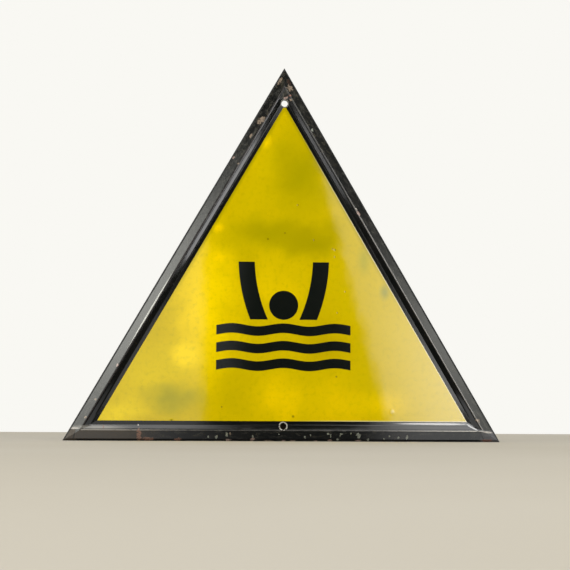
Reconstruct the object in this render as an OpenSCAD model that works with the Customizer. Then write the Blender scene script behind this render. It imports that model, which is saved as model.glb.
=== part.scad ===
// Triangular enamel safety sign for deep water: one pressed steel sheet with fired colour fields.
// It stands upright with its front towards -Y, and the origin is midway between its two fixing holes.

/* [Outline] */
// Side of the triangle, from tip to tip
side = 400; // [340:10:600]
// Thickness of the sheet with its black enamel
sheet_t = 1.3; // [0.9:0.1:1.4]

/* [Pressed rim] */
// Depth of the whole sign, from the rim's crest to its rear edge
rim_depth = 12; // [9:0.5:18]
// Height of the straight lip at the outer edge
lip_h = 2.6; // [1.6:0.1:4]
// Width of the sloping band inside the outer edge
band_w = 9.1; // [8:0.1:14]
// Flat left on the crest between its two bends
crest_flat = 0.3; // [0.2:0.1:2]
// Width of the step from the crest down to the panel
step_w = 4; // [2.4:0.1:6]
// Height of the crest above the panel's face
crest_h = 3.2; // [2:0.1:3.6]
// Inside radius of every bend
bend_r = 0.6; // [0.3:0.1:0.7]

/* [Fixing holes] */
// Diameter of both fixing holes
hole_d = 6; // [4:0.5:7]
// Height of the lower hole above the bottom edge
low_hole_h = 13.8; // [13:0.1:18]
// Distance of the upper hole below the top corner of the recess
hole_drop = 5.2; // [4:0.1:10]

/* [Enamel fields] */
// Black margin between the foot of the step and the yellow field
margin_w = 3.4; // [3:0.1:8]
// Black ring that stays between a hole and the yellow field
hole_ring = 0.9; // [0.5:0.1:2]
// Thickness of each fired coat of colour
coat_t = 0.2; // [0.1:0.05:0.4]

/* [Water] */
// Number of wavy strips
wave_count = 3; // [2:1:4]
// Height of the lowest strip's middle above the bottom edge
water_h = 69.6; // [50:0.1:75]
// Distance from one strip to the next
wave_pitch = 16; // [14:0.5:18]
// Thickness of a strip
wave_t = 8.7; // [6:0.1:10]
// Rise of a crest above the strip's middle line
wave_rise = 1.4; // [0.8:0.1:2.5]
// Distance from crest to crest
wave_len = 47.2; // [36:0.2:60]
// Length of a strip
wave_w = 122.8; // [90:0.2:140]

/* [Swimmer] */
// Diameter of the head
head_d = 26.6; // [20:0.2:30]
// Gap between the water and the head
head_gap = 3.4; // [2:0.1:6]
// Gap between the water and the arms
arm_gap = 3.5; // [2:0.1:8]
// Height of the arms
arm_h = 53; // [36:0.2:60]
// Thickness of an arm
arm_w = 14.8; // [10:0.2:16]
// Width across both arms at their widest
arm_span = 83.2; // [78:0.2:96]
// Radius of an arm's outer curve
arm_curve_r = 154.6; // [120:0.2:220]
// Height of that curve's centre above the arms' ends
arm_curve_h = 4.4; // [0:0.2:10]

/* [Hidden] */
$fn = 96;

SIDES = 3;
TURN = 360 / SIDES;
HALF_TURN = TURN / 2;
// Flat faces that each bend is made of
BEND_FACES = 6;
// Flat faces along each edge of a wave
WAVE_FACES = 48;
ENAMEL_BLACK = [0.1, 0.1, 0.1];
ENAMEL_YELLOW = [0.88, 0.76, 0.02];

// Slopes, and how far each bend reaches along the sheet's front face
outer_bend_r = bend_r + sheet_t;
band_drop = rim_depth - lip_h;
step_angle = atan2(crest_h, step_w);
band_angle = atan2(band_drop, band_w);
lip_angle = 90 - band_angle;
foot_reach = bend_r * tan(step_angle / 2);
step_reach = outer_bend_r * tan(step_angle / 2);
band_reach = outer_bend_r * tan(band_angle / 2);
lip_reach = outer_bend_r * tan(lip_angle / 2);
crest_w = band_reach + crest_flat + step_reach;

// Distances inwards from the outer edge
foot_in = band_w + crest_w + step_w;
field_in = foot_in + margin_w;

// Distances from the middle of the triangle
mid_to_edge = side / (2 * tan(HALF_TURN));
mid_to_foot = mid_to_edge - foot_in;

// Straight runs of sheet between the bends
step_run = norm([step_w, crest_h]) - foot_reach - step_reach;
band_run = norm([band_w, band_drop]) - band_reach - lip_reach;
lip_run = lip_h - lip_reach;

// Where the flat of the crest begins and ends, outwards from the foot of the step
flat_start = step_w + step_reach;
flat_end = flat_start + crest_flat;

// Heights above the bottom edge
high_hole_h = side * sin(HALF_TURN) - foot_in / cos(HALF_TURN) - hole_drop;
hole_mid_h = (low_hole_h + high_hole_h) / 2;
top_wave_h = water_h + (wave_count - 1) * wave_pitch;
water_top_h = top_wave_h + wave_rise + wave_t / 2;
head_h = water_top_h + head_gap + head_d / 2;
arm_bottom_h = water_top_h + arm_gap;
arm_top_h = arm_bottom_h + arm_h;

// Stands a shape up that was drawn flat, with X across, Y up and Z to the front,
// and with its zero height at the bottom edge
module stand() {
    translate([0, 0, -hole_mid_h])
        rotate([90, 0, 0])
            children();
}

// Moves a flat shape from the middle of the triangle to its place above the bottom edge
module from_middle() {
    translate([0, mid_to_edge, 0])
        children();
}

// Triangle whose sides lie the given distance inside the outer edge
module triangle(inset) {
    reach = (mid_to_edge - inset) / cos(HALF_TURN);
    polygon([for (i = [0:SIDES - 1]) reach * [sin(i * TURN), cos(i * TURN)]]);
}

// Unit vectors along a heading and to the left of it
function ahead(heading) = [cos(heading), sin(heading)];
function left_of(heading) = [-sin(heading), cos(heading)];

// Line that follows a bent sheet at a given depth behind its front face. Each step is a straight
// run and the bend after it: a positive angle turns to the front, and a negative one to the back.
function sheet_line(steps, depth, at = [0, 0], heading = 0, i = 0) =
    i == len(steps) ? [] :
    let (
        angle = steps[i][1],
        bend_at = at + steps[i][0] * ahead(heading),
        offset = angle > 0 ? bend_r : -outer_bend_r,
        centre = bend_at + offset * left_of(heading),
        next = heading + angle,
        arc = [
            for (j = [0:BEND_FACES])
                centre - (offset + depth) * left_of(heading + angle * j / BEND_FACES)
        ],
        straight = [bend_at - depth * left_of(heading)],
        rest = sheet_line(steps, depth, centre - offset * left_of(next), next, i + 1)
    )
    concat(angle == 0 ? straight : arc, rest);

function reversed(list) = [for (i = [len(list) - 1:-1:0]) list[i]];

// What all three sides have in common when a section runs along each of them, which leaves mitred
// corners. A section's X runs outwards from the foot of the step, and its Y to the front.
module mitred() {
    intersection_for (i = [0:SIDES - 1])
        rotate(i * TURN)
            translate([0, -mid_to_foot, 0])
                rotate([90, 0, -90])
                    linear_extrude(2 * side, center = true)
                        children();
}

// Solid below the crest and the sloping band, at a depth behind the sheet's front face
module below_band(depth) {
    steps = [[0, -band_angle], [band_run, -lip_angle], [lip_run + depth, 0]];
    line = sheet_line(steps, depth, [flat_end, crest_h]);
    rear = crest_h - rim_depth - depth;
    mitred()
        polygon(concat([[-side, crest_h - depth]], line, [[-side, rear]]));
}

// Space in front of the panel and inside the step, at a depth behind the sheet's front face
module recess(depth) {
    steps = [[0, step_angle], [step_run, -step_angle]];
    line = sheet_line(steps, depth, [-foot_reach, 0]);
    mitred()
        polygon(concat([[-side, -depth]], line, [[flat_start, rim_depth], [-side, rim_depth]]));
}

// Everything behind a surface that lies at a depth behind the sheet's front face
module behind(depth) {
    difference() {
        below_band(depth);
        recess(depth);
    }
}

// Places something at both fixing holes
module at_holes() {
    for (h = [low_hole_h, high_hole_h])
        translate([0, h, 0])
            children();
}

module sign_plate() {
    color(ENAMEL_BLACK)
        stand()
            difference() {
                from_middle()
                    behind(0);
                from_middle()
                    behind(sheet_t);
                at_holes()
                    cylinder(h = 2 * rim_depth, d = hole_d, center = true);
            }
}

module yellow_field() {
    color(ENAMEL_YELLOW)
        stand()
            linear_extrude(coat_t)
                difference() {
                    from_middle()
                        triangle(field_in);
                    at_holes()
                        circle(d = hole_d + 2 * hole_ring);
                }
}

// Fires a black shape onto the yellow coat
module black_coat() {
    color(ENAMEL_BLACK)
        stand()
            translate([0, 0, coat_t])
                linear_extrude(coat_t)
                    children();
}

// Right arm: a thick arc with level ends
module arm() {
    intersection() {
        translate([arm_span / 2 - arm_curve_r, arm_top_h + arm_curve_h])
            difference() {
                circle(arm_curve_r);
                circle(arm_curve_r - arm_w);
            }
        translate([0, arm_bottom_h])
            square([arm_span, arm_h]);
    }
}

module swimmer_figure() {
    black_coat() {
        translate([0, head_h])
            circle(d = head_d);
        arm();
        mirror([1, 0])
            arm();
    }
}

// Height of a wave's middle line, with a crest in the middle of the sign
function wave_height(x) = wave_rise * cos(360 * x / wave_len);

function wave_edge(offset) =
    [for (i = [0:WAVE_FACES]) let (x = wave_w * (i / WAVE_FACES - 0.5)) [x, wave_height(x) + offset]];

module wave_strip() {
    polygon(concat(wave_edge(-wave_t / 2), reversed(wave_edge(wave_t / 2))));
}

module water_waves() {
    black_coat()
        for (i = [0:wave_count - 1])
            translate([0, water_h + i * wave_pitch])
                wave_strip();
}

sign_plate();
yellow_field();
swimmer_figure();
water_waves();
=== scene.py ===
"""Looks for a triangular enamel safety sign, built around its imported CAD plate.

The front faces -Y. Lengths are in metres, but these are in millimetres: what has mm in its name,
the sizes of noises, and the places and sizes of all that lies on the sign. A place there is (x, h),
with x across from the upright middle line and h above the bottom edge.
"""

import math
from functools import cached_property

import bpy
from mathutils import Matrix, Vector


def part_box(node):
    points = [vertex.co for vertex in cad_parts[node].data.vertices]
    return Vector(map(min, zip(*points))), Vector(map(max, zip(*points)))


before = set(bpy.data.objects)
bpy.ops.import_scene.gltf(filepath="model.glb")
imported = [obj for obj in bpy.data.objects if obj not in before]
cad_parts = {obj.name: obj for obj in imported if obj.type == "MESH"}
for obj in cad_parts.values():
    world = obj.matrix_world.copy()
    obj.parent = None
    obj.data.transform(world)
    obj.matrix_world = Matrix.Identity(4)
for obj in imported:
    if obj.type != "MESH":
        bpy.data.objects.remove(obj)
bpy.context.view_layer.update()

MM = 0.001
CORNER_ANGLE = math.radians(60)
PLATE_LOW, PLATE_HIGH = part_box("sign_plate")
BASE_Z = PLATE_LOW.z
SIDE = PLATE_HIGH.x - PLATE_LOW.x
MID_TO_EDGE = SIDE / (2 * math.tan(CORNER_ANGLE))
MIDDLE_Z = BASE_Z + MID_TO_EDGE

# Distances inwards from the outer edge, in millimetres. The last three are the CAD plate's: its
# ridge, the foot of its step and the edge of its yellow field.
LIP_IN, RIDGE_IN, FOOT_IN, FIELD_IN = 1.6, 9.9, 14.9, 18.3
LOW_HOLE, HIGH_HOLE = (0, 13.8), (0, 311.5)

# Extra height of the front face at distances inwards from the outer edge, for shading only
CURVED_FRONT = [
    (0.0, -0.5),
    (1.5, -0.05),
    (2.5, 0.0),
    (13.9, 0.0),
    (15.0, 0.24),
    (18.4, 0.14),
]

# Where a name ends in FADE, two places come first and then the levels at them, 0 and 1 if not given

# Directions across the sign's face: outwards to its three sides, and along them
SIN_60 = math.sin(CORNER_ANGLE)
TO_BOTTOM, TO_LEFT, TO_RIGHT = (0, 0, -1), (-SIN_60, 0, 0.5), (SIN_60, 0, 0.5)
ALONG_BOTTOM, UP_LEFT_SIDE, UP_RIGHT_SIDE = (1, 0, 0), (0.5, 0, SIN_60), (-0.5, 0, SIN_60)


def on_sign(x_mm, h_mm, y=0.0):
    """Point in the frame for a place on the sign."""
    return Vector((x_mm * MM, y, BASE_Z + h_mm * MM))


# Camera: the photograph's viewpoint, low and a little to the left
CAMERA_PLACE = (-0.0725, -1.3865, BASE_Z + 0.0183)
CAMERA_YAW, CAMERA_PITCH, CAMERA_ROLL = 3.04, 5.12, 0.26
FOCAL_LENGTH_PX, IMAGE_PX, SENSOR_MM = 1520, 570, 36.0


def make_camera():
    data = bpy.data.cameras.new("camera")
    data.sensor_width = SENSOR_MM
    data.lens = SENSOR_MM * FOCAL_LENGTH_PX / IMAGE_PX
    camera = bpy.data.objects.new("camera", data)
    bpy.context.scene.collection.objects.link(camera)
    turn = Matrix.Rotation(math.radians(-CAMERA_YAW), 4, "Z")
    tip = Matrix.Rotation(math.radians(90 + CAMERA_PITCH), 4, "X")
    roll = Matrix.Rotation(math.radians(CAMERA_ROLL), 4, "Z")
    camera.matrix_world = Matrix.Translation(CAMERA_PLACE) @ turn @ tip @ roll
    bpy.context.scene.camera = camera


ENAMEL_IOR = 1.5
# Levels of an oval between which the soft edge of a chip and of a stroke lies
CHIP_EDGE, STROKE_EDGE = (0.78, 0.88), (0.05, 0.45)


class Graph:
    """Node tree of one material or world. Each call returns an output socket."""

    def __init__(self, tree):
        self.tree = tree
        self.frame_place = None
        tree.nodes.clear()

    def node(self, kind, inputs=None, output=0, **settings):
        node = self.tree.nodes.new("ShaderNode" + kind)
        for name, value in settings.items():
            setattr(node, name, value)
        for name, value in (inputs or {}).items():
            if isinstance(value, bpy.types.NodeSocket):
                self.tree.links.new(value, node.inputs[name])
            else:
                node.inputs[name].default_value = value
        return node.outputs[output] if node.outputs else None

    def math(self, operation, a, b):
        return self.node("Math", {0: a, 1: b}, operation=operation)

    def vector(self, operation, a, b):
        return self.node("VectorMath", {0: a, 1: b}, operation=operation)

    def dot(self, a, b):
        return self.node("VectorMath", {0: a, 1: b}, output="Value", operation="DOT_PRODUCT")

    def times(self, *factors):
        product = factors[0]
        for factor in factors[1:]:
            product = self.math("MULTIPLY", product, factor)
        return product

    def mix(self, factor, a, b):
        """Colour a where factor is 0, and colour b where it is 1."""
        return self.node("Mix", {0: factor, 6: a, 7: b}, output=2, data_type="RGBA")

    def blend(self, factor, a, b):
        """Number a where factor is 0, and number b where it is 1."""
        return self.node("Mix", {0: factor, 2: a, 3: b}, output=0, data_type="FLOAT")

    def smooth(self, value, low, high, out_low=0.0, out_high=1.0):
        """Value turned into out_low at low and out_high at high, with soft ends."""
        inputs = {
            "Value": value,
            "From Min": low,
            "From Max": high,
            "To Min": out_low,
            "To Max": out_high,
        }
        return self.node("MapRange", inputs, interpolation_type="SMOOTHSTEP")

    def position(self):
        """Place in the frame, the same for every piece."""
        if not self.frame_place:
            self.frame_place = self.node("TexCoord", output="Object")
        return self.frame_place

    def axis(self, index):
        """One coordinate of the place in the frame: 0 for X, 1 for Y and 2 for Z."""
        return self.node("SeparateXYZ", {0: self.position()}, output=index)

    def by_x(self, low, high, out_low=0.0, out_high=1.0):
        """Fade between two places in X."""
        return self.smooth(self.axis(0), low, high, out_low, out_high)

    def by_height(self, low, high, out_low=0.0, out_high=1.0):
        """Fade between two heights above the floor, where the sign's bottom edge is."""
        return self.smooth(self.axis(2), BASE_Z + low, BASE_Z + high, out_low, out_high)

    def noise(self, size_mm, detail, roughness=0.5, shift=0.0):
        """Cloudy noise from 0 to 1 whose patches are about the given size."""
        place = self.vector("ADD", self.position(), (shift, 0, 0))
        return self.noise_at(place, size_mm * MM, detail, roughness)

    def noise_at(self, place, size, detail, roughness):
        """The same at a place of the caller's choice, in whose unit the size is."""
        inputs = {"Vector": place, "Scale": 1 / size, "Detail": detail, "Roughness": roughness}
        return self.node("TexNoise", inputs)

    def cells(self, size_mm):
        """Distance to the nearest of many scattered points, in cells of the given size."""
        return self.node("TexVoronoi", {"Vector": self.position(), "Scale": 1 / (size_mm * MM)})

    def along(self, direction):
        """Distance from the middle of the sign in a direction, in millimetres."""
        from_middle = self.vector("SUBTRACT", self.position(), (0, 0, MIDDLE_Z))
        return self.math("MULTIPLY", self.dot(from_middle, direction), 1 / MM)

    def inset(self, *directions):
        """Distance inwards from the nearest of the given sides, or of all three, in millimetres."""
        reach = [self.along(side) for side in directions or (TO_BOTTOM, TO_LEFT, TO_RIGHT)]
        while len(reach) > 1:
            reach.append(self.math("MAXIMUM", reach.pop(), reach.pop()))
        return self.math("SUBTRACT", MID_TO_EDGE / MM, reach[0])

    def nearest_is(self, side):
        """1 where the given side is the nearest of the three."""
        others = [other for other in (TO_BOTTOM, TO_LEFT, TO_RIGHT) if other != side]
        farther = self.math("MAXIMUM", self.along(others[0]), self.along(others[1]))
        return self.math("GREATER_THAN", self.along(side), farther)

    def smooth_steps(self, value, points):
        """Value turned into straight runs between the given points, level beyond them."""
        low, high = points[0][0], points[-1][0]
        curve = self.tree.nodes.new("ShaderNodeFloatCurve")
        line = curve.mapping.curves[0]
        curve.mapping.use_clip = False
        ends = [((at - low) / (high - low), out) for at, out in points]
        line.points[0].location, line.points[-1].location = ends[0], ends[-1]
        for end in ends[1:-1]:
            line.points.new(*end)
        for point in line.points:
            point.handle_type = "VECTOR"
        curve.mapping.update()
        share = self.node("MapRange", {"Value": value, "From Min": low, "From Max": high})
        self.tree.links.new(share, curve.inputs["Value"])
        return curve.outputs[0]

    def between(self, value, low, high, soft):
        """1 where value lies from low to high, with edges as soft as given."""
        rise = self.smooth(value, low - soft / 2, low + soft / 2)
        fall = self.smooth(value, high - soft / 2, high + soft / 2, 1.0, 0.0)
        return self.times(rise, fall)

    def warped(self, size_mm, amount_mm):
        """Place in the frame, shifted to and fro by noise."""
        inputs = {"Vector": self.position(), "Scale": 1 / (size_mm * MM), "Detail": 2.0}
        shift = self.node("TexNoise", inputs, output="Color")
        shift = self.vector("SUBTRACT", shift, (0.5, 0.5, 0.5))
        shift = self.node("VectorMath", {0: shift, "Scale": amount_mm * MM}, operation="SCALE")
        return self.vector("ADD", self.position(), shift)

    def oval(self, place, size, tilt=0.0, position=None):
        """1 in the middle of an oval at (x, h) and 0 from its edge on, with sizes in millimetres.

        A positive tilt in degrees raises its right end.
        """
        position = position or self.position()
        moved = self.vector("SUBTRACT", position, on_sign(*place))
        inputs = {
            "Vector": moved,
            "Rotation": (0, -math.radians(tilt), 0),
            "Scale": (size[0] * MM, 1.0, size[1] * MM),
        }
        scaled = self.node("Mapping", inputs, vector_type="TEXTURE")
        return self.node("TexGradient", {"Vector": scaled}, output=1, gradient_type="SPHERICAL")

    def spot(self, place, size, strength=1.0, position=None):
        """Soft oval patch."""
        oval = self.oval(place, size, position=position)
        return self.times(self.smooth(oval, 0.0, 1.0), strength)

    def stroke(self, start, end, width):
        """Thin tapered line between two places."""
        run, rise = end[0] - start[0], end[1] - start[1]
        middle = ((start[0] + end[0]) / 2, (start[1] + end[1]) / 2)
        size = (math.hypot(run, rise) / 2 + width, width)
        tilt = math.degrees(math.atan2(rise, run))
        return self.smooth(self.oval(middle, size, tilt), *STROKE_EDGE)

    def chip(self, place, size, ragged, tilt=0.0):
        """Oval patch with a ragged edge, from a noise that goes from 0 to 1."""
        edge = self.math("ADD", self.oval(place, size, tilt), ragged)
        return self.smooth(edge, *CHIP_EDGE)

    def bump(self, height, depth_mm, over=None):
        """Relief of the given depth, which may lie over the relief of another bump."""
        inputs = {"Height": height, "Strength": 1.0, "Distance": depth_mm * MM}
        if over:
            inputs["Normal"] = over
        return self.node("Bump", inputs)

    def enamel(self, paint, roughness, relief):
        """Finishes a material as enamel."""
        inputs = {"Base Color": paint, "Roughness": roughness, "Normal": relief, "IOR": ENAMEL_IOR}
        self.node("OutputMaterial", {"Surface": self.node("BsdfPrincipled", inputs)})


def new_material(name):
    material = bpy.data.materials.new(name)
    material.use_nodes = True
    return material, Graph(material.node_tree)


def colour(red, green, blue):
    """Colour written in 0 to 255 display values, turned into linear light."""
    def linear(value):
        value /= 255
        return value / 12.92 if value <= 0.04045 else ((value + 0.055) / 1.055) ** 2.4
    return (linear(red), linear(green), linear(blue), 1.0)


# Yellow enamel
YELLOW = colour(210, 184, 0)
DULL_YELLOW = colour(200, 176, 0)
OLIVE_SPECKLE = colour(168, 152, 0)
OLIVE_EDGE = colour(140, 132, 6)
# Pale of the painted highlight along the coat's edge
EDGE_HIGHLIGHT_PALE = colour(238, 230, 196)
PIT_BROWN = colour(84, 78, 12)
# Cream of the blister, a painted highlight on it
BLISTER_HIGHLIGHT_CREAM = colour(250, 236, 190)
# Clouds in it: each is its place, half size, colour and strength
YELLOW_CLOUDS = [
    ((-72, 120), (46, 115), colour(255, 220, 0), 1.0),
    ((-120, 60), (64, 44), colour(226, 200, 0), 0.9),
    ((-150, 28), (34, 22), colour(240, 212, 10), 0.9),
    ((-21, 254), (20, 26), colour(214, 188, 0), 0.8),
    ((16, 244), (46, 50), colour(164, 153, 0), 0.85),
    ((8, 264), (20, 50), colour(178, 162, 0), 0.45),
    ((-16, 190), (62, 30), colour(166, 154, 0), 0.85),
    ((28, 184), (46, 28), colour(164, 151, 0), 0.85),
    ((-10, 140), (50, 34), colour(232, 200, 0), 0.85),
    ((38, 92), (40, 40), colour(186, 162, 0), 0.7),
    ((-101, 38), (40, 19), colour(160, 155, 26), 0.8),
    ((-89, 78), (19, 18), colour(255, 222, 14), 1.5),
    ((-45, 40), (34, 30), colour(194, 172, 0), 0.6),
    ((-3, 36), (38, 30), colour(240, 204, 0), 0.9),
    ((50, 34), (36, 26), colour(232, 198, 0), 0.9),
    ((92, 34), (34, 18), colour(236, 203, 0), 0.9),
    ((74, 166), (9, 20), colour(166, 162, 36), 0.6),
    ((93, 137), (7, 11), colour(150, 152, 66), 0.8),
    ((-61, 195), (8, 7), colour(246, 210, 0), 1.2),
    ((-60, 167), (10, 8), colour(250, 214, 0), 1.0),
    ((-18, 276), (9, 10), colour(255, 218, 0), 0.9),
]
# Half size up to which a cloud keeps a plain oval shape
SMALL_CLOUD = 18
# Small pits: each is its place and half width
PITS = [
    ((12.8, 216.9), 1.1),
    ((0.9, 190.7), 1.2),
    ((-14.7, 185.0), 1.5),
    ((27.5, 184.5), 1.1),
    ((47.1, 175.5), 1.3),
    ((44.8, 176.5), 1.0),
    ((47.0, 169.0), 1.0),
    ((56.5, 137.0), 1.0),
    ((49.3, 117.5), 1.1),
    ((48.6, 59.0), 1.4),
    ((9.0, 22.6), 2.0),
    ((-56.0, 31.0), 1.2),
    ((-101.3, 18.6), 1.8),
]
BLISTER, BLISTER_SIZE = (99.6, 27.1), (2.6, 3.2)
# How the olive edge grows with the height, and the painted highlight along the coat's edge with X
OLIVE_EDGE_FADE, EDGE_HIGHLIGHT_FADE = (0.10, 0.18), (0.0, 0.09)
# Slow swell of the enamelled sheet, which the yellow and the figure share
SWELL_MM, SWELL_DEPTH_MM = 16, 0.03


def swell(g):
    return g.bump(g.noise(SWELL_MM, detail=1), depth_mm=SWELL_DEPTH_MM)


def yellow_paint(g, clouds):
    drift = g.warped(30, 36)
    paint = g.mix(g.smooth(clouds, 0.35, 0.7, 0.0, 0.4), YELLOW, DULL_YELLOW)
    for place, size, tint, strength in YELLOW_CLOUDS:
        position = drift if min(size) > SMALL_CLOUD else None
        paint = g.mix(g.spot(place, size, strength, position=position), paint, tint)
    speckle = g.noise(4.5, detail=3, roughness=0.6)
    paint = g.mix(g.smooth(speckle, 0.45, 0.8, 0.0, 0.3), paint, OLIVE_SPECKLE)
    # Olive edge along the upper part of both slanted sides
    sides = g.smooth(g.inset(TO_LEFT, TO_RIGHT), FIELD_IN, FIELD_IN + 4, 0.5, 0.0)
    paint = g.mix(g.times(sides, g.by_height(*OLIVE_EDGE_FADE)), paint, OLIVE_EDGE)
    # Painted highlight: a pale line where the coat ends at the bottom and on the right
    line = g.smooth(g.inset(TO_BOTTOM, TO_RIGHT), FIELD_IN + 0.3, FIELD_IN + 0.8, 0.7, 0.0)
    return g.mix(g.times(line, g.by_x(*EDGE_HIGHLIGHT_FADE)), paint, EDGE_HIGHLIGHT_PALE)


def pitting(g):
    """Depth of the pits from 0 to 1: scattered fine ones, and the larger ones in their places."""
    fine = g.smooth(g.cells(6.5), 0.05, 0.10, 1.0, 0.0)
    patches = g.smooth(g.noise(34, detail=1, shift=0.3), 0.64, 0.7)
    pits = g.times(fine, patches, 0.4)
    for place, width in PITS:
        pits = g.math("MAXIMUM", pits, g.spot(place, (width, width)))
    return pits


def yellow_enamel():
    material, g = new_material("yellow_enamel_fired")
    clouds = g.noise(48, detail=4, roughness=0.6)
    pits, blister = pitting(g), g.spot(BLISTER, BLISTER_SIZE)
    paint = g.mix(g.times(pits, 0.8), yellow_paint(g, clouds), PIT_BROWN)
    # The blister is a raised bump; its cream tint is a painted highlight
    paint = g.mix(g.times(blister, 0.5), paint, BLISTER_HIGHLIGHT_CREAM)
    relief = g.bump(g.noise(3.0, detail=2), depth_mm=0.0025, over=swell(g))
    relief = g.bump(pits, depth_mm=-0.04, over=relief)
    relief = g.bump(blister, depth_mm=0.25, over=relief)
    g.enamel(paint, g.smooth(clouds, 0.3, 0.8, 0.03, 0.05), relief)
    return material


# Black enamel
BLACK = colour(15, 17, 15)
DULL_BLACK = colour(25, 24, 22)
BACK_BLACK, BACK_GREY = colour(18, 18, 17), colour(34, 32, 29)
BRUSHED_BROWN = colour(80, 78, 70)
MOTTLE_BROWN = colour(78, 74, 60)
# Painted reflection of the table on the bottom band
BOTTOM_TABLE_REFLECTION = colour(66, 55, 36)
# Painted reflections of the table on the lower tips
LEFT_TIP_TABLE_REFLECTION, RIGHT_TIP_REFLECTION_GREY = colour(70, 62, 52), colour(88, 88, 90)
# Painted dark reflection along the left ridge
RIDGE_DARK_REFLECTION = colour(34, 24, 20)
RING_GREY = colour(196, 192, 180)
# Greys of painted highlights: on the left ridge, the left end of the lower step and its foot
LEFT_RIDGE_HIGHLIGHT_GREY = colour(206, 206, 196)
STEP_HIGHLIGHT_GREY = colour(186, 182, 172)
FOOT_HIGHLIGHT_GREY = colour(198, 198, 198)
# Pale of real chips, and of painted highlights on the ridges and the folds at the lower tips
PALE_WEAR_AND_HIGHLIGHT = colour(178, 172, 162)
CHIP_GREY = colour(164, 168, 154)
TAN_WEAR = colour(154, 136, 116)
PINK_WEAR = colour(176, 150, 138)
RUST = colour(126, 84, 66)
PALE_RUST = colour(146, 106, 84)
DARK_RUST = colour(62, 44, 34)
# Dark of real seams and a chip, and of the painted shade along the rolled outer edge
SOOT_AND_EDGE_SHADE = colour(14, 13, 11)
# Lines in it: each is its two ends, half width, colour and strength
RIM_LINES = [
    # Painted highlight along the left ridge
    ((-98, 159.5), (-144.5, 78.9), 0.9, LEFT_RIDGE_HIGHLIGHT_GREY, 0.75),
    # Painted highlight along the foot of the lower step on the right
    ((96, 16.4), (172, 16.4), 1.0, FOOT_HIGHLIGHT_GREY, 1.0),
    ((120, 16.2), (173, 16.2), 1.0, FOOT_HIGHLIGHT_GREY, 1.0),
    ((168, 16.2), (178.2, 10.4), 1.0, FOOT_HIGHLIGHT_GREY, 1.0),
    # Seams at the lower tips
    ((-187.2, 9.6), (-190.6, 0.6), 0.8, SOOT_AND_EDGE_SHADE, 0.8),
    ((179.6, 9.4), (185.4, 1.0), 0.8, SOOT_AND_EDGE_SHADE, 0.8),
    # Painted highlights along the folds at the lower tips
    ((-194.0, 11.4), (-184.0, 11.2), 1.1, PALE_WEAR_AND_HIGHLIGHT, 0.85),
    ((182.0, 9.4), (193.0, 8.6), 1.1, PALE_WEAR_AND_HIGHLIGHT, 0.85),
]
# Painted highlight at the left end of the lower step
STEP_HIGHLIGHT_PLACE, STEP_HIGHLIGHT_SIZE = (-168, 12.2), (36, 3.0)
# Chipped rings round the holes: each is its hole and strength
HOLE_RINGS = [(LOW_HOLE, 0.85), (HIGH_HOLE, 0.35)]
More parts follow.
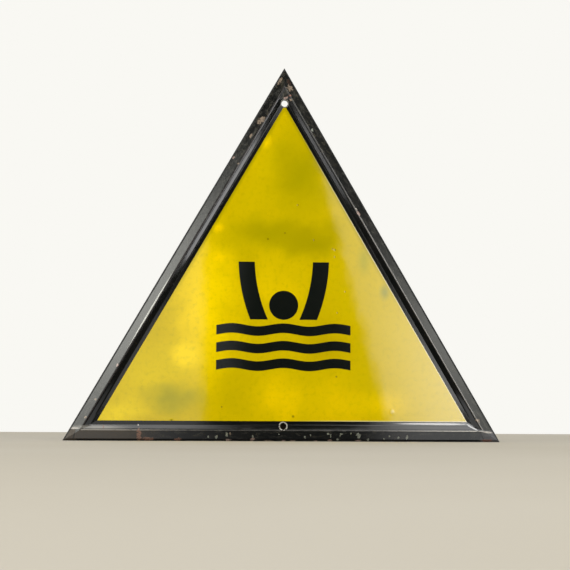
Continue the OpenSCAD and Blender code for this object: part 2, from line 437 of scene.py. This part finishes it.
# Chips and rust: each is its place, half size, colour and tilt
CHIPS = [
    ((-21.7, 295.2), (7.5, 4.4), TAN_WEAR, 50),
    ((-31.0, 281.0), (2.0, 4.5), TAN_WEAR, -20),
    ((-4.6, 333.5), (2.6, 6.5), TAN_WEAR, -30),
    ((4.0, 332.0), (2.6, 5.5), DARK_RUST, 25),
    ((5.0, 326.0), (4.0, 5.5), TAN_WEAR, 20),
    ((0.8, 316.6), (3.6, 1.7), PINK_WEAR, 0),
    ((5.0, 318.6), (2.2, 1.8), RUST, 0),
    ((5.4, 314.4), (2.0, 2.2), TAN_WEAR, 0),
    ((-47.4, 261.1), (2.6, 2.2), PINK_WEAR, 0),
    ((-40.5, 257.0), (6.5, 4.2), SOOT_AND_EDGE_SHADE, 25),
    ((-42.5, 254.5), (2.0, 1.6), TAN_WEAR, 0),
    ((25.7, 286.6), (1.4, 3.4), CHIP_GREY, 0),
    ((68.5, 209.4), (1.8, 4.6), PINK_WEAR, 30),
    ((66.5, 213.5), (1.6, 2.0), PALE_WEAR_AND_HIGHLIGHT, 0),
    ((178.0, 20.0), (2.4, 3.4), TAN_WEAR, 30),
    ((-150.5, 68.5), (1.4, 2.6), PINK_WEAR, -30),
    ((-170.0, 37.0), (1.8, 1.8), TAN_WEAR, 0),
    ((-179.0, 21.0), (2.0, 1.8), TAN_WEAR, 0),
    ((-162.5, 12.5), (0.9, 2.6), RUST, 0),
    ((-131.5, 14.3), (1.3, 1.3), PALE_WEAR_AND_HIGHLIGHT, 0),
    ((-130.4, 4.8), (3.6, 8.6), PALE_RUST, 0),
    ((-123.0, 1.6), (9.0, 2.6), PALE_RUST, 0),
    ((-95.5, 1.3), (5.2, 2.6), PALE_RUST, 0),
    ((188.0, 1.2), (7.5, 2.4), RUST, 0),
    ((-68.0, 3.9), (1.2, 2.6), CHIP_GREY, 0),
    ((-60.6, 3.6), (1.7, 2.8), CHIP_GREY, 0),
    ((-51.2, 6.0), (1.7, 3.0), CHIP_GREY, 10),
    ((-48.2, 6.4), (1.2, 2.4), TAN_WEAR, 0),
    ((-50.0, 0.9), (4.4, 1.6), PINK_WEAR, 0),
    ((-27.8, 1.8), (3.0, 2.8), PINK_WEAR, 0),
    ((-27.6, 4.4), (1.2, 1.8), CHIP_GREY, 0),
    ((-13.0, 0.4), (7.0, 1.0), TAN_WEAR, 0),
    ((0.6, 0.6), (3.0, 1.1), PINK_WEAR, 0),
    ((9.0, 0.6), (4.0, 1.1), TAN_WEAR, 0),
    ((30.0, 0.4), (3.4, 0.9), PINK_WEAR, 0),
    ((-3.8, 6.5), (0.9, 0.9), CHIP_GREY, 0),
    ((20.0, 3.9), (1.3, 1.6), CHIP_GREY, 40),
    ((25.0, 5.6), (1.1, 1.6), CHIP_GREY, 0),
    ((41.3, 7.0), (2.6, 1.4), CHIP_GREY, 0),
    ((43.4, 5.4), (1.0, 2.6), CHIP_GREY, 0),
    ((43.3, 0.9), (3.2, 1.6), PINK_WEAR, 0),
    ((49.8, 1.9), (2.0, 1.9), CHIP_GREY, 0),
    ((52.0, 5.4), (1.3, 2.0), CHIP_GREY, -30),
    ((53.6, 7.0), (2.8, 1.2), CHIP_GREY, 10),
    ((61.9, 7.5), (1.0, 1.3), CHIP_GREY, 0),
    ((69.0, 6.0), (3.6, 2.6), CHIP_GREY, 0),
    ((69.4, 4.0), (1.8, 1.8), CHIP_GREY, 0),
    ((69.0, 0.9), (4.2, 1.2), PINK_WEAR, 0),
    ((78.0, 1.8), (1.6, 1.8), CHIP_GREY, 0),
    ((92.5, 2.8), (1.3, 1.2), CHIP_GREY, 0),
    ((97.0, 5.0), (1.3, 1.7), CHIP_GREY, 0),
    ((105.8, 3.8), (1.7, 2.0), CHIP_GREY, 0),
    ((113.6, 3.8), (1.6, 2.9), CHIP_GREY, 0),
]


# Roughness of the glossy step and margin, of the rough ridge and lip, and of the lower tips
GLOSSY, ROUGH_EDGE, ROUGH_TIP = 0.08, 0.7, 0.65
# How many times longer than wide the brush marks are that run along the rim, and a shift in their
# noise that gives the right side other marks than the left
BRUSH_STRETCH, RIGHT_SIDE_SHIFT = 3.0, 70
# Borders of places on the rim: in height, and then in X
TOP_FADE, ABOVE_HOLE_FADE, TIP_FADE = (0.235, 0.275), (0.314, 0.318), (0.0115, 0.0095)
LEFT_TIP_FADE, RIGHT_TIP_FADE = (-0.1868, -0.1885), (0.1805, 0.1830)
# How the painted reflection of the table on the bottom band grows with X, and the painted
# highlights with the height on the right ridge and with X on both halves of the bottom ridge
BOTTOM_REFLECTION_FADE = (-0.100, -0.150, 0.0, 0.8)
RIGHT_RIDGE_HIGHLIGHT_FADE = (0.24, 0.20, 0.10, 0.42)
LEFT_HALF_HIGHLIGHT_FADE, RIGHT_HALF_HIGHLIGHT_FADE = (-0.06, -0.16, 0.12, 0.7), (0.07, 0.16, 0.0, 0.85)
# A hole's chipped ring lies inside an oval of this half size, where its level is between these two
RING_SIZE, RING_EDGE = (10, 10), (0.57, 0.62)


class Rim:
    """Places on the black enamel as levels from 0 to 1, and the noises that several coats share.

    The cached ones are made where they are first used. With all of them made first, the enamel
    rendered plain black, most likely because Cycles limits how many values a material holds.
    """

    def __init__(self, g):
        self.g = g
        self.inset = g.inset()
        self.left, self.right, self.bottom = (
            g.nearest_is(side) for side in (TO_LEFT, TO_RIGHT, TO_BOTTOM)
        )
        # Place that follows the rim, so that marks can run along its sides
        along = g.blend(self.right, g.along(ALONG_BOTTOM), g.along(UP_RIGHT_SIDE))
        along = g.blend(self.left, along, g.along(UP_LEFT_SIDE))
        across = g.math("MULTIPLY", self.inset, BRUSH_STRETCH)
        shift = g.times(self.right, RIGHT_SIDE_SHIFT)
        self.place = g.node("CombineXYZ", {0: across, 1: along, 2: shift})
        self.brushed = g.noise_at(self.place, 9, detail=5, roughness=0.65)
        self.ragged = g.smooth(g.noise(2.0, detail=4, roughness=0.7), 0.25, 0.75, 0.0, 0.76)
        self.cloudy = g.noise(24, detail=5, roughness=0.65)

    @cached_property
    def band(self):
        return self.g.between(self.inset, LIP_IN, RIDGE_IN, 0.8)

    @cached_property
    def ridge(self):
        return self.g.between(self.inset, RIDGE_IN - 0.4, RIDGE_IN + 0.35, 0.5)

    @cached_property
    def lip(self):
        return self.g.smooth(self.inset, LIP_IN - 0.6, LIP_IN + 0.3, 1.0, 0.0)

    @cached_property
    def near_top(self):
        return self.g.by_height(*TOP_FADE)

    @cached_property
    def above_hole(self):
        return self.g.by_height(*ABOVE_HOLE_FADE)

    @cached_property
    def tip(self):
        low_down = self.g.by_height(*TIP_FADE)
        return self.g.times(low_down, self.g.smooth(self.inset, 9.6, 9.0))

    @cached_property
    def left_tip(self):
        return self.g.times(self.tip, self.g.by_x(*LEFT_TIP_FADE))

    @cached_property
    def right_tip(self):
        return self.g.times(self.tip, self.g.by_x(*RIGHT_TIP_FADE))


def black_paint(g, rim):
    paint = g.mix(g.smooth(rim.cloudy, 0.35, 0.75), BLACK, DULL_BLACK)
    brush_marks = g.times(rim.band, g.smooth(rim.brushed, 0.48, 0.72, 0.0, 0.5))
    paint = g.mix(brush_marks, paint, BRUSHED_BROWN)
    # Brown and green mottling towards the top corner
    mottle = g.smooth(g.noise(4.0, detail=4, roughness=0.7), 0.5, 0.68)
    outside_step = g.smooth(rim.inset, RIDGE_IN + 0.5, RIDGE_IN + 1.5, 1.0, 0.0)
    mottled = g.math("MAXIMUM", outside_step, rim.above_hole)
    paint = g.mix(g.times(rim.near_top, mottle, mottled, 0.6), paint, MOTTLE_BROWN)
    # Painted reflection of the table: brown over the left end of the bottom band
    table_reflection = g.times(rim.bottom, rim.band, g.by_x(*BOTTOM_REFLECTION_FADE))
    paint = g.mix(table_reflection, paint, BOTTOM_TABLE_REFLECTION)
    # Lower tips: painted table reflections, brown on the left and grey with scratches on the right
    paint = g.mix(rim.left_tip, paint, LEFT_TIP_TABLE_REFLECTION)
    right_tip_reflection = g.times(rim.right_tip, g.smooth(rim.brushed, 0.3, 0.7, 0.5, 1.0))
    return g.mix(right_tip_reflection, paint, RIGHT_TIP_REFLECTION_GREY)


def painted_ridge_lines(g, rim, paint):
    """Painted dark reflection along the left ridge, and painted highlights along the other two."""
    patchy = g.smooth(g.noise_at(rim.place, 7, detail=4, roughness=0.7), 0.30, 0.48, 0.25, 1.0)
    dark_reflection = g.times(rim.ridge, rim.left, g.smooth(patchy, 0.0, 1.0, 0.4, 1.0))
    paint = g.mix(dark_reflection, paint, RIDGE_DARK_REFLECTION)
    # Painted highlight along the right ridge, low down
    low_down = g.by_height(*RIGHT_RIDGE_HIGHLIGHT_FADE)
    paint = g.mix(g.times(rim.ridge, rim.right, low_down), paint, PALE_WEAR_AND_HIGHLIGHT)
    # Painted highlight along the bottom ridge, towards both ends
    left_half, right_half = g.by_x(*LEFT_HALF_HIGHLIGHT_FADE), g.by_x(*RIGHT_HALF_HIGHLIGHT_FADE)
    off_middle = g.math("ADD", left_half, right_half)
    return g.mix(g.times(rim.ridge, rim.bottom, patchy, off_middle), paint, PALE_WEAR_AND_HIGHLIGHT)


def marks(g, rim, paint):
    """Lines, chipped rings round the holes, and chips."""
    paint = g.mix(g.spot(STEP_HIGHLIGHT_PLACE, STEP_HIGHLIGHT_SIZE, 0.5), paint, STEP_HIGHLIGHT_GREY)
    for start, end, width, tint, strength in RIM_LINES:
        paint = g.mix(g.times(g.stroke(start, end, width), strength), paint, tint)
    broken = g.smooth(g.noise(2.6, detail=3, roughness=0.6, shift=0.5), 0.38, 0.52)
    for place, strength in HOLE_RINGS:
        ring = g.smooth(g.oval(place, RING_SIZE), *RING_EDGE)
        paint = g.mix(g.times(ring, broken, strength), paint, RING_GREY)
    scuffed = g.smooth(g.noise(0.9, detail=2, shift=0.2), 0.35, 0.6, 0.35, 1.0)
    for place, size, tint, tilt in CHIPS:
        paint = g.mix(g.times(g.chip(place, size, rim.ragged, tilt), scuffed), paint, tint)
    return paint


def rim_roughness(g, rim):
    brushed = g.smooth(rim.brushed, 0.3, 0.8, 0.12, 0.26)
    rough = g.blend(g.smooth(rim.inset, RIDGE_IN, FOOT_IN), brushed, GLOSSY)
    top_ridge = g.times(rim.near_top, rim.ridge)
    rough = g.blend(g.math("MAXIMUM", rim.lip, top_ridge), rough, ROUGH_EDGE)
    top_corner = g.times(rim.above_hole, g.smooth(rim.inset, RIDGE_IN - 1.0, RIDGE_IN))
    rough = g.blend(top_corner, rough, ROUGH_EDGE)
    return g.blend(g.math("MAXIMUM", rim.left_tip, rim.right_tip), rough, ROUGH_TIP)


def rim_relief(g, rim):
    """Relief of the sheet, which rolls over at its outer edge and is hollow at the step's foot."""
    relief = g.bump(g.smooth_steps(rim.inset, CURVED_FRONT), depth_mm=1.0)
    relief = g.bump(g.noise(9, detail=2), depth_mm=0.02, over=relief)
    relief = g.bump(g.times(rim.band, rim.brushed), depth_mm=0.10, over=relief)
    relief = g.bump(g.times(rim.band, rim.ragged), depth_mm=0.012, over=relief)
    return g.bump(g.noise(1.2, detail=3), depth_mm=0.006, over=relief)


def black_enamel():
    material, g = new_material("black_enamel_worn")
    rim = Rim(g)
    paint = painted_ridge_lines(g, rim, black_paint(g, rim))
    paint = marks(g, rim, paint)
    # Painted shade along the rolled outer edge of both slanted sides
    edge_shade = g.times(rim.lip, g.math("MAXIMUM", rim.left, rim.right), 0.9)
    paint = g.mix(edge_shade, paint, SOOT_AND_EDGE_SHADE)
    # The back is plain
    facing = g.node("SeparateXYZ", {0: g.node("NewGeometry", output="Normal")}, output="Y")
    back = g.mix(rim.cloudy, BACK_BLACK, BACK_GREY)
    paint = g.mix(g.smooth(facing, 0.05, 0.3), paint, back)
    g.enamel(paint, rim_roughness(g, rim), rim_relief(g, rim))
    return material


# The figure's black enamel, which is duller towards the left
FIGURE_DARK, FIGURE_LIGHT = colour(14, 18, 15), colour(21, 24, 20)
FIGURE_ROUGHNESS_FADE = (-0.055, -0.02, 0.2, 0.07)


def figure_enamel():
    material, g = new_material("figure_enamel_glossy")
    paint = g.mix(g.noise(18, detail=4), FIGURE_DARK, FIGURE_LIGHT)
    relief = g.bump(g.noise(1.0, detail=2), depth_mm=0.003, over=swell(g))
    g.enamel(paint, g.by_x(*FIGURE_ROUGHNESS_FADE), relief)
    return material


# Stage: a pale floor that ends behind the sign, and a white surround
WALL_WHITE = colour(249, 248, 243)
FLOOR_PALE, FLOOR_PALER = colour(199, 192, 176), colour(212, 207, 195)
FLOOR_FRONT_Y, FLOOR_BACK_Y, FLOOR_HALF_WIDTH = -1.4, 0.99, 1.58
SURROUND_LIGHT = 0.55


def level_card(x0, x1, y0, y1, z):
    """Corners of a level rectangle."""
    return [(x0, y0, z), (x1, y0, z), (x1, y1, z), (x0, y1, z)]


def upright_card(x0, x1, y, z0, z1):
    """Corners of an upright rectangle that faces the front."""
    return [(x0, y, z0), (x1, y, z0), (x1, y, z1), (x0, y, z1)]


def mesh_object(name, points, material, faces=((0, 1, 2, 3),)):
    mesh = bpy.data.meshes.new(name)
    mesh.from_pydata(points, [], faces)
    mesh.materials.append(material)
    piece = bpy.data.objects.new(name, mesh)
    bpy.context.scene.collection.objects.link(piece)
    return piece


def make_floor():
    material, g = new_material("floor")
    tone = g.noise(400, detail=2)
    paint = g.mix(g.smooth(tone, 0.3, 0.7, 0.0, 0.3), FLOOR_PALE, FLOOR_PALER)
    g.node("OutputMaterial", {"Surface": g.node("BsdfDiffuse", {"Color": paint})})
    sides = (-FLOOR_HALF_WIDTH, FLOOR_HALF_WIDTH, FLOOR_FRONT_Y, FLOOR_BACK_Y)
    mesh_object("floor", level_card(*sides, BASE_Z), material)


def make_surround():
    """White where the camera or a reflection sees it, and dimmer as a light."""
    world = bpy.data.worlds.new("surround")
    world.use_nodes = True
    bpy.context.scene.world = world
    g = Graph(world.node_tree)
    rays = ("Is Camera Ray", "Is Glossy Ray", "Is Transmission Ray")
    camera_ray, glossy_ray, through_ray = (g.node("LightPath", output=ray) for ray in rays)
    seen = g.math("MAXIMUM", g.math("MAXIMUM", camera_ray, glossy_ray), through_ray)
    lit = g.node("Background", {"Color": (1, 1, 1, 1), "Strength": SURROUND_LIGHT})
    shown = g.node("Background", {"Color": WALL_WHITE, "Strength": 1.0})
    g.node("OutputWorld", {"Surface": g.node("MixShader", {0: seen, 1: lit, 2: shown})})


# Studio that only gloss shows: a dim room with bright windows. Its heights are above the floor.
ROOM_HALF_WIDTH, ROOM_FRONT_Y, ROOM_BACK_Y, ROOM_HEIGHT = 3.0, -3.0, 1.5, 3.0
ROOM_GLOW = 0.012
WHITE_GLOW, WARM_GLOW = (1, 1, 1, 1), (1.0, 1.0, 0.93, 1.0)
# Gaps that keep glowing cards clear of the floor and of one another
ROOM_GAP, TABLE_GAP, SHEEN_GAP = 0.001, 0.002, 0.003

# Two windows side by side in front of the sign, which its flat panel shows
WINDOW_Y, WINDOW_REACH, WINDOW_HEIGHT = -1.42, 2.2, 1.1
# The left one has one glow up to a soft edge
LEFT_GLOW, LEFT_EDGE_X, LEFT_EDGE_SOFT = 1.05, -0.075, 0.012
# The right one starts at a slanted line through a place in X and height. From there its glow rises
# with each metre to the right, and it rises faster low down than high up.
RIGHT_SLANT = math.radians(15.2)
RIGHT_EDGE_X, RIGHT_EDGE_HEIGHT = 0.180, 0.343
RIGHT_LOW, RIGHT_HIGH = 0.05, 0.45
RIGHT_GLOW_LOW, RIGHT_GLOW_HIGH = 1.9, 1.5
RIGHT_RISE_LOW, RIGHT_RISE_HIGH = 34.0, 9.0
RIGHT_GLOW_MOST = 6.5
RIGHT_EDGE_FADE = (-0.006, 0.01)

# Side windows, which the sloping bands show: each is its name, its X, how it fades towards the top
# and how it fades towards the bottom
SIDE_WINDOWS = [
    ("left_side_window", -1.6, (1.10, 1.60, 4.9, 0.05), (0.78, 0.96, 0.55, 1.0)),
    ("right_side_window", 1.6, (0.86, 1.22, 2.2, 0.15), (0.70, 0.82, 0.5, 1.0)),
]
SIDE_FRONT_Y, SIDE_BACK_Y, SIDE_HEIGHT = -1.2, 0.6, 1.7

# Skylights, which the step along the bottom shows: each is its name, its two sides in X and a fade
SKYLIGHTS = [
    ("left_skylight", -0.7, 0, (0.0, -0.13, 0.0, 3.2)),
    ("right_skylight", 0.1, 0.9, (0.2, 0.36, 0.0, 4.2)),
]
SKY_FRONT_Y, SKY_BACK_Y, SKY_HEIGHT = -1.0, 0.1, 1.5

# Bright sheen on the table to both sides, which the steps along the sides show: each is its name
# and its near and far ends in X. At each end, it lies between two places in Y.
SHEENS = [("right_sheen", 0.26, 0.75), ("left_sheen", -0.42, -0.75)]
SHEEN_NEAR_Y, SHEEN_FAR_Y = (-0.07, -0.20), (-0.14, -0.32)
SHEEN_GLOW = 5.5

# Pale table behind the sign, which its back shows, and a strip of table under the sign, which the
# band along the bottom shows: each is its two sides in X and its two sides in Y
REAR_TABLE, FOOT_STRIP = (-1.5, 1.5, 0.06, 1.45), (-0.22, 0.22, -0.03, 0.015)
# The table behind grows brighter in Y, and the strip in X, towards both ends of the sign
REAR_FADE = (0.06, 1.2, 0.15, 0.7)
LEFT_FOOT_FADE, RIGHT_FOOT_FADE = (-0.02, -0.19, 0.1, 1.0), (0.06, 0.13, 0.1, 1.2)


def glossy_only(name, points, make_strength, tint=WHITE_GLOW, **shape):
    """Stage mesh that glows and shows only in reflections. Heights are above the floor."""
    material, g = new_material(name)
    glow = g.node("Emission", {"Color": tint, "Strength": make_strength(g)})
    g.node("OutputMaterial", {"Surface": glow})
    card = mesh_object(name, [(x, y, BASE_Z + z) for x, y, z in points], material, **shape)
    card.visible_camera = card.visible_diffuse = False
    card.visible_shadow = card.visible_transmission = False


def make_room():
    w, front, back = ROOM_HALF_WIDTH, ROOM_FRONT_Y, ROOM_BACK_Y
    ground = ((-w, back), (-w, front), (w, front), (w, back))
    points = [(x, y, z) for z in (ROOM_GAP, ROOM_HEIGHT) for x, y in ground]
    walls = [(0, 1, 5, 4), (1, 2, 6, 5), (2, 3, 7, 6), (3, 0, 4, 7)]
    faces = walls + [(4, 5, 6, 7), (0, 1, 2, 3)]
    glossy_only("dim_room", points, lambda g: ROOM_GLOW, faces=faces)


def left_window_glow(g):
    return g.by_x(LEFT_EDGE_X - LEFT_EDGE_SOFT, LEFT_EDGE_X + LEFT_EDGE_SOFT, LEFT_GLOW, 0.0)


def right_window_glow(g):
    normal = (math.cos(RIGHT_SLANT), 0, math.sin(RIGHT_SLANT))
    start = Vector((RIGHT_EDGE_X, 0, BASE_Z + RIGHT_EDGE_HEIGHT)).dot(Vector(normal))
    beyond = g.math("SUBTRACT", g.dot(g.position(), normal), start)
    low = g.by_height(RIGHT_LOW, RIGHT_HIGH, 1.0, 0.0)
    rise = g.times(g.blend(low, RIGHT_RISE_HIGH, RIGHT_RISE_LOW), g.math("MAXIMUM", beyond, 0.0))
    glow = g.math("ADD", g.blend(low, RIGHT_GLOW_HIGH, RIGHT_GLOW_LOW), rise)
    return g.times(g.math("MINIMUM", glow, RIGHT_GLOW_MOST), g.smooth(beyond, *RIGHT_EDGE_FADE))


def rear_glow(g):
    return g.smooth(g.axis(1), *REAR_FADE)


def foot_glow(g):
    return g.math("MAXIMUM", g.by_x(*LEFT_FOOT_FADE), g.by_x(*RIGHT_FOOT_FADE))


def make_windows():
    points = upright_card(-WINDOW_REACH, 0, WINDOW_Y, 0, WINDOW_HEIGHT)
    glossy_only("left_window", points, left_window_glow)
    points = upright_card(0, WINDOW_REACH, WINDOW_Y, 0, WINDOW_HEIGHT)
    glossy_only("right_window", points, right_window_glow)
    front, back, high = SIDE_FRONT_Y, SIDE_BACK_Y, SIDE_HEIGHT
    for name, x, top, bottom in SIDE_WINDOWS:
        def side_glow(g):
            return g.times(g.by_height(*top), g.by_height(*bottom))
        points = [(x, front, 0), (x, back, 0), (x, back, high), (x, front, high)]
        glossy_only(name, points, side_glow, WARM_GLOW)
    for name, x0, x1, fade in SKYLIGHTS:
        points = level_card(x0, x1, SKY_FRONT_Y, SKY_BACK_Y, SKY_HEIGHT)
        glossy_only(name, points, lambda g: g.by_x(*fade))


def make_sheens():
    for name, near, far in SHEENS:
        front_line = [(near, SHEEN_NEAR_Y[0], SHEEN_GAP), (far, SHEEN_FAR_Y[0], SHEEN_GAP)]
        back_line = [(far, SHEEN_FAR_Y[1], SHEEN_GAP), (near, SHEEN_NEAR_Y[1], SHEEN_GAP)]
        glossy_only(name, front_line + back_line, lambda g: SHEEN_GLOW)
    glossy_only("rear_table", level_card(*REAR_TABLE, TABLE_GAP), rear_glow)
    glossy_only("foot_sheen", level_card(*FOOT_STRIP, TABLE_GAP), foot_glow)


# Dark card behind the lower hole, and how far it reaches beyond the hole's middle
SHADE_BROWN = colour(48, 40, 32)
SHADE_Y, SHADE_ASIDE_MM, SHADE_BELOW_MM, SHADE_ABOVE_MM = 0.006, 7, 7, 5


def make_hole_shade():
    """Darkness behind the lower hole. It shows from the front only."""
    material, g = new_material("hole_shade")
    dark = g.node("BsdfDiffuse", {"Color": SHADE_BROWN})
    clear = g.node("BsdfTransparent")
    from_behind = g.node("NewGeometry", output="Backfacing")
    g.node("OutputMaterial", {"Surface": g.node("MixShader", {0: from_behind, 1: dark, 2: clear})})
    x, h = LOW_HOLE
    low = on_sign(x - SHADE_ASIDE_MM, h - SHADE_BELOW_MM)
    high = on_sign(x + SHADE_ASIDE_MM, h + SHADE_ABOVE_MM)
    points = upright_card(low.x, high.x, SHADE_Y, low.z, high.z)
    mesh_object("hole_shade", points, material)


# Soft lamps: each is its name, place, target, width, height and brightness per area. Heights of
# places are above the floor.
LAMPS = [
    ("front_left", (-0.7, -1.42, 0.5), (-0.5, 0, 0.5), 1.2, 1.4, 1.55),
    ("front_right", (0.8, -1.42, 0.5), (0.6, 0, 0.5), 1.2, 1.4, 1.94),
    ("side_left", (-1.6, -0.25, 0.55), (0, -0.25, 0.55), 1.4, 1.1, 2.0),
    ("side_right", (1.6, -0.25, 0.5), (0, -0.25, 0.5), 1.4, 1.0, 1.6),
    ("rear", (0, 1.6, 1.3), (0, 0, -BASE_Z), 1.6, 1.0, 1.5),
]


def above_floor(place):
    x, y, height = place
    return Vector((x, y, BASE_Z + height))


def make_lamp(name, place, target, width, height, radiance):
    """Flat soft lamp that faces a target. Gloss doesn't show it."""
    data = bpy.data.lights.new(name, "AREA")
    data.shape, data.size, data.size_y = "RECTANGLE", width, height
    data.energy = radiance * math.pi * width * height
    lamp = bpy.data.objects.new(name, data)
    bpy.context.scene.collection.objects.link(lamp)
    place, target = above_floor(place), above_floor(target)
    aim = (target - place).to_track_quat("-Z", "Y").to_matrix().to_4x4()
    lamp.matrix_world = Matrix.Translation(place) @ aim
    lamp.visible_camera = lamp.visible_glossy = False


def dress_plate():
    black, yellow, figure = black_enamel(), yellow_enamel(), figure_enamel()
    for node, material in (
        ("sign_plate", black),
        ("yellow_field", yellow),
        ("swimmer_figure", figure),
        ("water_waves", figure),
    ):
        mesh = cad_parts[node].data
        mesh.materials.clear()
        mesh.materials.append(material)


bpy.context.scene.view_settings.view_transform = "Standard"
make_camera()
dress_plate()
make_floor()
make_surround()
make_room()
make_windows()
make_sheens()
make_hole_shade()
for lamp in LAMPS:
    make_lamp(*lamp)
